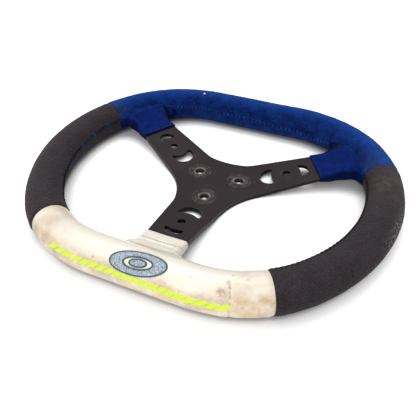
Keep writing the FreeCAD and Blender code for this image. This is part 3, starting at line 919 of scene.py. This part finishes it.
def boot_surface(side, relief):
    """Closed boot: from the hem over the spoke root to the lap, round the lap's edge and back inside."""
    boot = sizes().boots
    shares = ring_shares()
    rings, places = boot_rings(side, shares)
    lap_radius = GRIP_RADIUS + 0.9 * boot.thickness
    lap = lap_ring(side, shares, 0.0, lap_radius)
    arrive = lap - lap_ring(side, shares, -0.004, lap_radius)
    arrive /= np.linalg.norm(arrive, axis=-1, keepdims=True)
    spoke_way = into_wheel(np.array([[1.0, 0.0, 0.0]]), SPOKES[side])[0]
    outer = lofted(rings + [lap], places + [places[-1] + 0.008], 0.45 * arrive + 0.45 * spoke_way, 14)
    outer = outer + relief(outer, shares)[..., None] * grid_normals(outer)
    sink = lap_ring(side, shares, 0.0006, GRIP_RADIUS + 0.0001)
    under = lap_ring(side, shares, -0.0006, GRIP_RADIUS - 0.0006)
    inner = [drawn_in(outer[index], 1.1 * boot.thickness) for index in (58, 14)]
    fold = boot.thickness / 2
    rolled = [drawn_in(outer[0], fold * (1.0 - cosine(turn))) - spoke_way * fold * 1.6 * sine(turn)
              for turn in (180.0, 135.0, 90.0, 45.0)]
    points = np.concatenate([outer, [sink, under], inner, rolled])
    # Edge is 1 on the rows round the lap's edge and 0.7 at the hem: the leather boot is painted with shade
    # there, the suede boots with a paler rub.
    edge = np.zeros(points.shape[:2])
    edge[len(outer) - 3:len(outer) + 1] = 1.0
    edge[:3] = 0.7
    return points, {"edge": edge, "upward": grid_normals(points)[..., 2]}


def grid_normals(points):
    """Unit normals of a grid that is closed along its columns."""
    along = np.gradient(points, axis=0)
    around = np.roll(points, -1, axis=1) - np.roll(points, 1, axis=1)
    normal = np.cross(around, along)
    return normal / np.maximum(np.linalg.norm(normal, axis=-1, keepdims=True), 1e-12)


def upper_boot_relief(seed):
    def relief(points, shares):
        """Soft fabric: slight slackness between the hem and the rim."""
        rows = np.linspace(0.0, 1.0, len(points))[:, None]
        slack = 0.00030 * waves(points, 0.020, seed) + 0.00005 * waves(points, 0.004, seed + 1)
        return slack * ease(rows, 0.0, 0.2) * ease(rows, 1.0, 0.9)
    return relief


def bottom_boot_relief(points, shares):
    """Leather boot: a fold across it beyond the hem band, a welt along its corners and slack leather."""
    reach = -points[..., 1]
    rows = np.linspace(0.0, 1.0, len(points))[:, None]
    top = ease(points[..., 2], 0.0145, 0.0165)
    folded = -0.00110 * bell(reach - 0.1128, 0.0009) + 0.00060 * bell(reach - 0.1148, 0.0014)
    folded += -0.00070 * bell(reach - 0.1178, 0.0012)
    across = rounded_ring(1.0, -1.0, 1.0, 0.1, shares)[0]
    welt = -0.00085 * bell(np.abs(across) - 0.80, 0.035)
    slack = 0.00025 * waves(points, 0.016, 71)
    return (folded * top + welt * top + slack) * ease(rows, 0.0, 0.08) * ease(rows, 1.0, 0.92)


class WHEEL_OT_boots(bpy.types.Operator):
    """Build the boots that wrap the spoke roots"""

    bl_idname = "wheel.boots"
    bl_label = "Spoke boots"

    def execute(self, context):
        suede = boot_suede()
        boots = (
            ("boot_cloth_left", "left", "blue_suede", upper_boot_relief(61), suede),
            ("boot_cloth_right", "right", "blue_suede", upper_boot_relief(65), suede),
            ("boot_leather_bottom", "bottom", "cream_leather", bottom_boot_relief, boot_leather()),
        )
        for name, side, slot, relief, material in boots:
            points, attributes = boot_surface(side, relief)
            piece = add_piece(name, points, material, attributes=attributes)
            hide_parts(f"boot_{side}")
        return {"FINISHED"}


def boot_leather():
    """Cream leather of the bottom boot, with painted shade along its fold, round its lap's edge and at its
    hem.
    """
    colours = sizes().colours
    finish = Finish("boot_leather", colours.cream, 0.32, coat_weight=0.25, coat_roughness=0.18)
    patches = finish.noise(0.010, 3.0).above(0.45, 0.75)
    shade = finish.mix(patches * 0.25, colours.cream, colours.soil)
    # Painted shade: the fold across the boot is darkened with the stain colour.
    fold = (finish.axis("Y") + 0.1128).bell(0.0009) * finish.axis("Z").above(0.0145, 0.0165)
    shade = finish.mix(fold * 0.75, shade, colours.stain)
    # Painted shade where the boot meets the grip at its lap and at the hem.
    painted_edge_shade = finish.attribute("edge") * 0.45
    finish.paint(finish.mix(painted_edge_shade, shade, (0.34, 0.26, 0.17)))
    finish.raise_by(finish.cells(0.0012) * 0.35 + finish.noise(0.0035, 2.0) * 0.6, 0.00018)
    return finish.material


# Sewing, nap and small damage

def cross_stitches(start, stop, seam, skip=()):
    """Pairs of crossing threads over a seam: each runs from one side's hole to the other's, and bows up
    between."""
    stitch = sizes().stitches
    count = int((stop - start) / stitch.pitch)
    middle = start + (np.arange(count) + 0.5) * stitch.pitch
    for low, high in skip:
        middle = middle[(middle < low) | (middle > high)]
    t = np.linspace(-1.0, 1.0, 7)
    paths = []
    for lean in (-1.0, 1.0):
        along = middle[:, None] + lean * 0.36 * stitch.pitch * t
        across = np.degrees(stitch.half_width * t / GRIP_RADIUS)
        radius = GRIP_RADIUS + stitch.thread * (0.9 + 0.6 * (lean > 0)) - 0.0011 * np.abs(t) ** 6
        paths.append(on_grip(along, seam_angle(along, seam) + across, np.broadcast_to(radius, along.shape)))
    return np.concatenate(paths)


def boot_gaps():
    """Stretches of the rim that the upper boots cover."""
    half = sizes().boots.lap_half_width
    return [(boot_root(side) - half, boot_root(side) + half) for side in ("left", "right")]


class WHEEL_OT_sewing(bpy.types.Operator):
    """Sew the covers along the inside of the rim"""

    bl_idname = "wheel.sewing"
    bl_label = "Sewing"

    def execute(self, context):
        stitch = sizes().stitches
        colours = sizes().colours
        blue = thread("blue_thread", colours.blue_thread)
        dull = thread("dull_blue_thread", colours.blue_thread, 0.06)
        black = thread("black_thread", colours.black_thread)
        cream = thread("cream_thread", (0.62, 0.56, 0.44))
        under_boot = ((RIM_LENGTH / 2 - 0.025, RIM_LENGTH / 2 + 0.025),)
        rows = (
            ("top", blue, boot_gaps()),
            ("left", dull, ()),
            ("right", black, ()),
            ("bottom", cream, under_boot),
        )
        for side, material, skip in rows:
            start, stop, seam, slot = COVERS[side]
            paths = cross_stitches(start + 0.002, stop - 0.002, seam, skip)
            add_piece(f"stitches_{side}", tubes(paths, stitch.thread), material, wrap_rows=False)
        return {"FINISHED"}


class WHEEL_OT_nap(bpy.types.Operator):
    """Raise loose fibres of nap on the blue cover"""

    bl_idname = "wheel.nap"
    bl_label = "Suede nap"

    def execute(self, context):
        chance = np.random.default_rng(5)
        count = 7000
        along = chance.uniform(-TOP_COVER_END + 0.012, TOP_COVER_END - 0.012, count)
        angle = chance.uniform(-50.0, 190.0, count)
        length = chance.uniform(0.0005, 0.0015, count) * np.where(chance.uniform(size=count) > 0.93, 1.7, 1.0)
        lean_along = chance.normal(0.0, 0.0005, count)
        lean_round = chance.normal(0.0, 1.8, count)
        t = np.array([0.0, 0.5, 1.0])
        paths = on_grip(along[:, None] + lean_along[:, None] * t**2 * 2,
                        angle[:, None] + lean_round[:, None] * t**2 * 2,
                        GRIP_RADIUS - 0.0002 + length[:, None] * t)
        colours = sizes().colours
        nap = Finish("nap_fibre", colours.blue_nap_and_highlight, 0.9, sheen_weight=0.05, specular_ior_level=0.1)
        shade = nap.noise(0.004, 2.0)
        nap.paint(nap.mix(shade, colours.blue, scaled(colours.blue_nap_and_highlight, 0.9)))
        add_piece("nap_fibres", tubes(paths, 0.00007, 3), nap.material, wrap_rows=False)
        return {"FINISHED"}


# Plain marks on the cream cover

def badge_place(across, up):
    """Distance along the rim and angle round it of a point of the badge: an oval leaned over by the slant,
    along = middle + length across / 2 - slant up / 2, angle = middle + height up / 2."""
    marks = sizes().marks
    along = marks.badge_middle + marks.badge_length / 2 * across - marks.badge_slant / 2 * up
    return along, marks.badge_angle + np.degrees(marks.badge_height / 2 * up / GRIP_RADIUS)


class WHEEL_OT_marks(bpy.types.Operator):
    """Lay plain slanted bars and an oval badge on the cream cover"""

    bl_idname = "wheel.marks"
    bl_label = "Marks"

    def execute(self, context):
        marks = sizes().marks
        colours = sizes().colours
        lift = 0.00045
        u = np.linspace(-1.0, 1.0, 17)
        v = np.linspace(-1.0, 1.0, 9)
        band_start, band_stop = 0.4200, 0.5600
        centres = np.linspace(band_start, band_stop, marks.bar_count)
        along = (centres[:, None, None] + u[:, None] * marks.bar_length / 2 - v * marks.bar_slant / 2)
        arc = np.degrees(marks.bar_height / 2 * v / GRIP_RADIUS)
        angle = np.interp(along, (band_start, band_stop), (10.0, 21.0)) + arc
        edge = np.maximum(np.abs(u)[:, None], np.abs(v))
        height = lift - 0.0012 * ease(edge, 0.93, 1.0)
        bars = on_grip(along, angle, GRIP_RADIUS + height)
        add_piece("printed_bars", bars, printed("neon_print", colours.neon),
                  wrap_rows=False, wrap_columns=False)
        turn = np.linspace(0.0, 360.0, 97)[:-1]
        shapes = (("badge_ring", (0.52, 1.0)), ("badge_middle", (0.0, 0.30)))
        for name, (inner, outer) in shapes:
            share = np.linspace(inner, outer, 15)[:, None]
            edge = np.abs(share - (inner + outer) / 2) / ((outer - inner) / 2)
            edge = edge if inner > 0 else share / outer
            along, angle = badge_place(share * cosine(turn), share * sine(turn))
            height = 0.0006 - 0.0014 * ease(edge, 0.90, 1.0)
            patch = on_grip(along, angle, GRIP_RADIUS + height)
            material = embroidery("thread_" + name, colours.badge)
            add_piece(name, patch, material, wrap_rows=False)
        outlines = np.array([[0.30], [0.52], [1.0]])
        along, angle = badge_place(outlines * cosine(turn), outlines * sine(turn))
        paths = on_grip(along, angle, GRIP_RADIUS + 0.0004)
        ahead = np.roll(paths, -1, axis=1) - np.roll(paths, 1, axis=1)
        ahead /= np.linalg.norm(ahead, axis=-1, keepdims=True)
        outward = rim_line(along)[1]
        out = cosine(angle)[..., None] * outward + sine(angle)[..., None] * np.array([0.0, 0.0, 1.0])
        side = np.cross(ahead, out)
        spin = np.linspace(0.0, 360.0, 6, endpoint=False)
        cord_half_width, cord_height = 0.00075, 0.0005
        ring = side[:, :, None] * cosine(spin)[:, None] * cord_half_width
        ring = ring + out[:, :, None] * sine(spin)[:, None] * cord_height
        material = embroidery("badge_edge", colours.badge_edge)
        add_piece("badge_outline", paths[:, :, None] + ring, material)
        return {"FINISHED"}


class WHEEL_OT_hardware(bpy.types.Operator):
    """Finish the plate and the parts inside the grip"""

    bl_idname = "wheel.hardware"
    bl_label = "Hardware"

    def execute(self, context):
        black_paint = plain_metal("black_paint", (0.02, 0.02, 0.02), 0.5, 0.0)
        finishes = {
            "spoke_plate": anodised_plate(),
            "spoke_rivets": plain_metal("zinc_rivet", (0.55, 0.55, 0.56), 0.4, 1.0),
            "rim_tube": black_paint,
            "tab_left": black_paint,
            "tab_right": black_paint,
            "tab_bottom": black_paint,
            "grip_foam": moulded_foam(),
        }
        for node, material in finishes.items():
            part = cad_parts[node]
            part.data.materials.clear()
            part.data.materials.append(material)
        return {"FINISHED"}


def seen_directly(tree):
    """1 for rays from the camera, also by way of gloss or transmission, and 0 for the others."""
    rays = tree.nodes.new("ShaderNodeLightPath")
    seen = Value(tree, rays.outputs["Is Camera Ray"])
    for kind in ("Is Glossy Ray", "Is Transmission Ray"):
        seen = seen.math("MAXIMUM", Value(tree, rays.outputs[kind]))
    return seen


class WHEEL_OT_stage(bpy.types.Operator):
    """Set the floor, the light and the camera"""

    bl_idname = "wheel.stage"
    bl_label = "Stage"

    def execute(self, context):
        stage = sizes().stage
        scene = context.scene
        half = 12.0
        flat = ((-half, -half), (half, -half), (half, half), (-half, half))
        corners = [(x, y, FLOOR_HEIGHT) for x, y in flat]
        mesh = bpy.data.meshes.new("floor")
        mesh.from_pydata(corners, [], [(0, 1, 2, 3)])
        floor = bpy.data.objects.new("floor", mesh)
        scene.collection.objects.link(floor)
        pale = (0.80, 0.80, 0.81)
        finish = Finish("floor", pale, 0.6, specular_ior_level=0.2)
        # Painted shadow: the floor glows for the camera only where ambient occlusion finds it open, so it
        # stays darker near the wheel.
        around = finish.node("ShaderNodeAmbientOcclusion", {"samples": 16}, Distance=0.10)
        glow_outside_painted_shadow = Value(finish.tree, around.outputs["AO"]).above(0.10, 0.88)
        strength = seen_directly(finish.tree) * glow_outside_painted_shadow * 0.62
        glow = finish.node("ShaderNodeEmission", None, Color=(1.0, 1.0, 1.0, 1.0), Strength=strength)
        # Painted contact shadow: the floor's own colour is darkened where it lies close under the wheel.
        contact_shadow_ao = finish.node("ShaderNodeAmbientOcclusion", {"samples": 12}, Distance=0.006)
        clear = Value(finish.tree, contact_shadow_ao.outputs["AO"]).above(0.20, 0.75)
        finish.paint(finish.mix(clear, (0.34, 0.34, 0.35), pale))
        total = finish.node("ShaderNodeAddShader", None, _0=finish.shader.outputs[0], _1=glow.outputs[0])
        finish.tree.links.new(total.outputs[0], finish.tree.nodes["Material Output"].inputs["Surface"])
        mesh.materials.append(finish.material)

        world = bpy.data.worlds.new("surroundings")
        scene.world = world
        world.use_nodes = True
        tree = world.node_tree
        strength = seen_directly(tree) * (1.0 - stage.world) + stage.world
        background = tree.nodes["Background"]
        background.inputs["Color"].default_value = (1.0, 1.0, 1.0, 1.0)
        tree.links.new(strength.socket, background.inputs["Strength"])

        lamps = (("softbox", stage.lamp, (-0.15, 0.30, 1.0)), ("fill", stage.fill, (0.10, -1.1, 0.55)))
        for name, power, place in lamps:
            lamp = bpy.data.lights.new(name, "AREA")
            lamp.shape = "RECTANGLE"
            lamp.size, lamp.size_y = 0.9, 0.6
            lamp.energy = power
            holder = bpy.data.objects.new(name, lamp)
            scene.collection.objects.link(holder)
            holder.location = place
            holder.rotation_euler = (-holder.location).to_track_quat("-Z", "Y").to_euler()

        camera_data = bpy.data.cameras.new("camera")
        camera_data.sensor_width = 36.0
        camera_data.lens = stage.lens
        camera_data.clip_start = 0.01
        camera = bpy.data.objects.new("camera", camera_data)
        scene.collection.objects.link(camera)
        turn, rise = math.radians(stage.azimuth), math.radians(stage.elevation)
        back = Vector((math.sin(turn) * math.cos(rise), -math.cos(turn) * math.cos(rise), math.sin(rise)))
        target = Vector((0.0108, -0.0400, PLATE_THICKNESS))
        camera.location = target + back * stage.reach
        camera.rotation_euler = (-back).to_track_quat("-Z", "Y").to_euler()
        scene.camera = camera
        scene.view_settings.view_transform = "Standard"
        return {"FINISHED"}


class WHEEL_PT_panel(bpy.types.Panel):
    """Steps that dress the wheel, in order"""

    bl_label = "Padded Steering Wheel"
    bl_space_type = "VIEW_3D"
    bl_region_type = "UI"
    bl_category = "Wheel"

    def draw(self, context):
        for step in STEPS:
            self.layout.operator(step.bl_idname)
        for group in ("covers", "boots", "stitches", "marks", "colours", "stage"):
            box = self.layout.box()
            box.label(text=group.title())
            settings = getattr(context.scene.wheel, group)
            for key in settings.__annotations__:
                box.prop(settings, key)


class WheelSettings(bpy.types.PropertyGroup):
    """All settings of the wheel."""

    covers: PointerProperty(type=WheelCoverSizes)
    boots: PointerProperty(type=WheelBootSizes)
    stitches: PointerProperty(type=WheelStitchSizes)
    marks: PointerProperty(type=WheelMarkSizes)
    colours: PointerProperty(type=WheelColours)
    stage: PointerProperty(type=WheelStage)


STEPS = (WHEEL_OT_hardware, WHEEL_OT_covers, WHEEL_OT_boots, WHEEL_OT_sewing, WHEEL_OT_nap, WHEEL_OT_marks,
         WHEEL_OT_stage)
GROUPS = (WheelCoverSizes, WheelBootSizes, WheelStitchSizes, WheelMarkSizes, WheelColours, WheelStage,
          WheelSettings)
KINDS = GROUPS + STEPS + (WHEEL_PT_panel,)


def register():
    for kind in KINDS:
        bpy.utils.register_class(kind)
    bpy.types.Scene.wheel = PointerProperty(type=WheelSettings)


def unregister():
    del bpy.types.Scene.wheel
    for kind in reversed(KINDS):
        bpy.utils.unregister_class(kind)


def main():
    register()
    for step in STEPS:
        group, name = step.bl_idname.split(".")
        getattr(getattr(bpy.ops, group), name)()


if __name__ == "__main__":
    main()
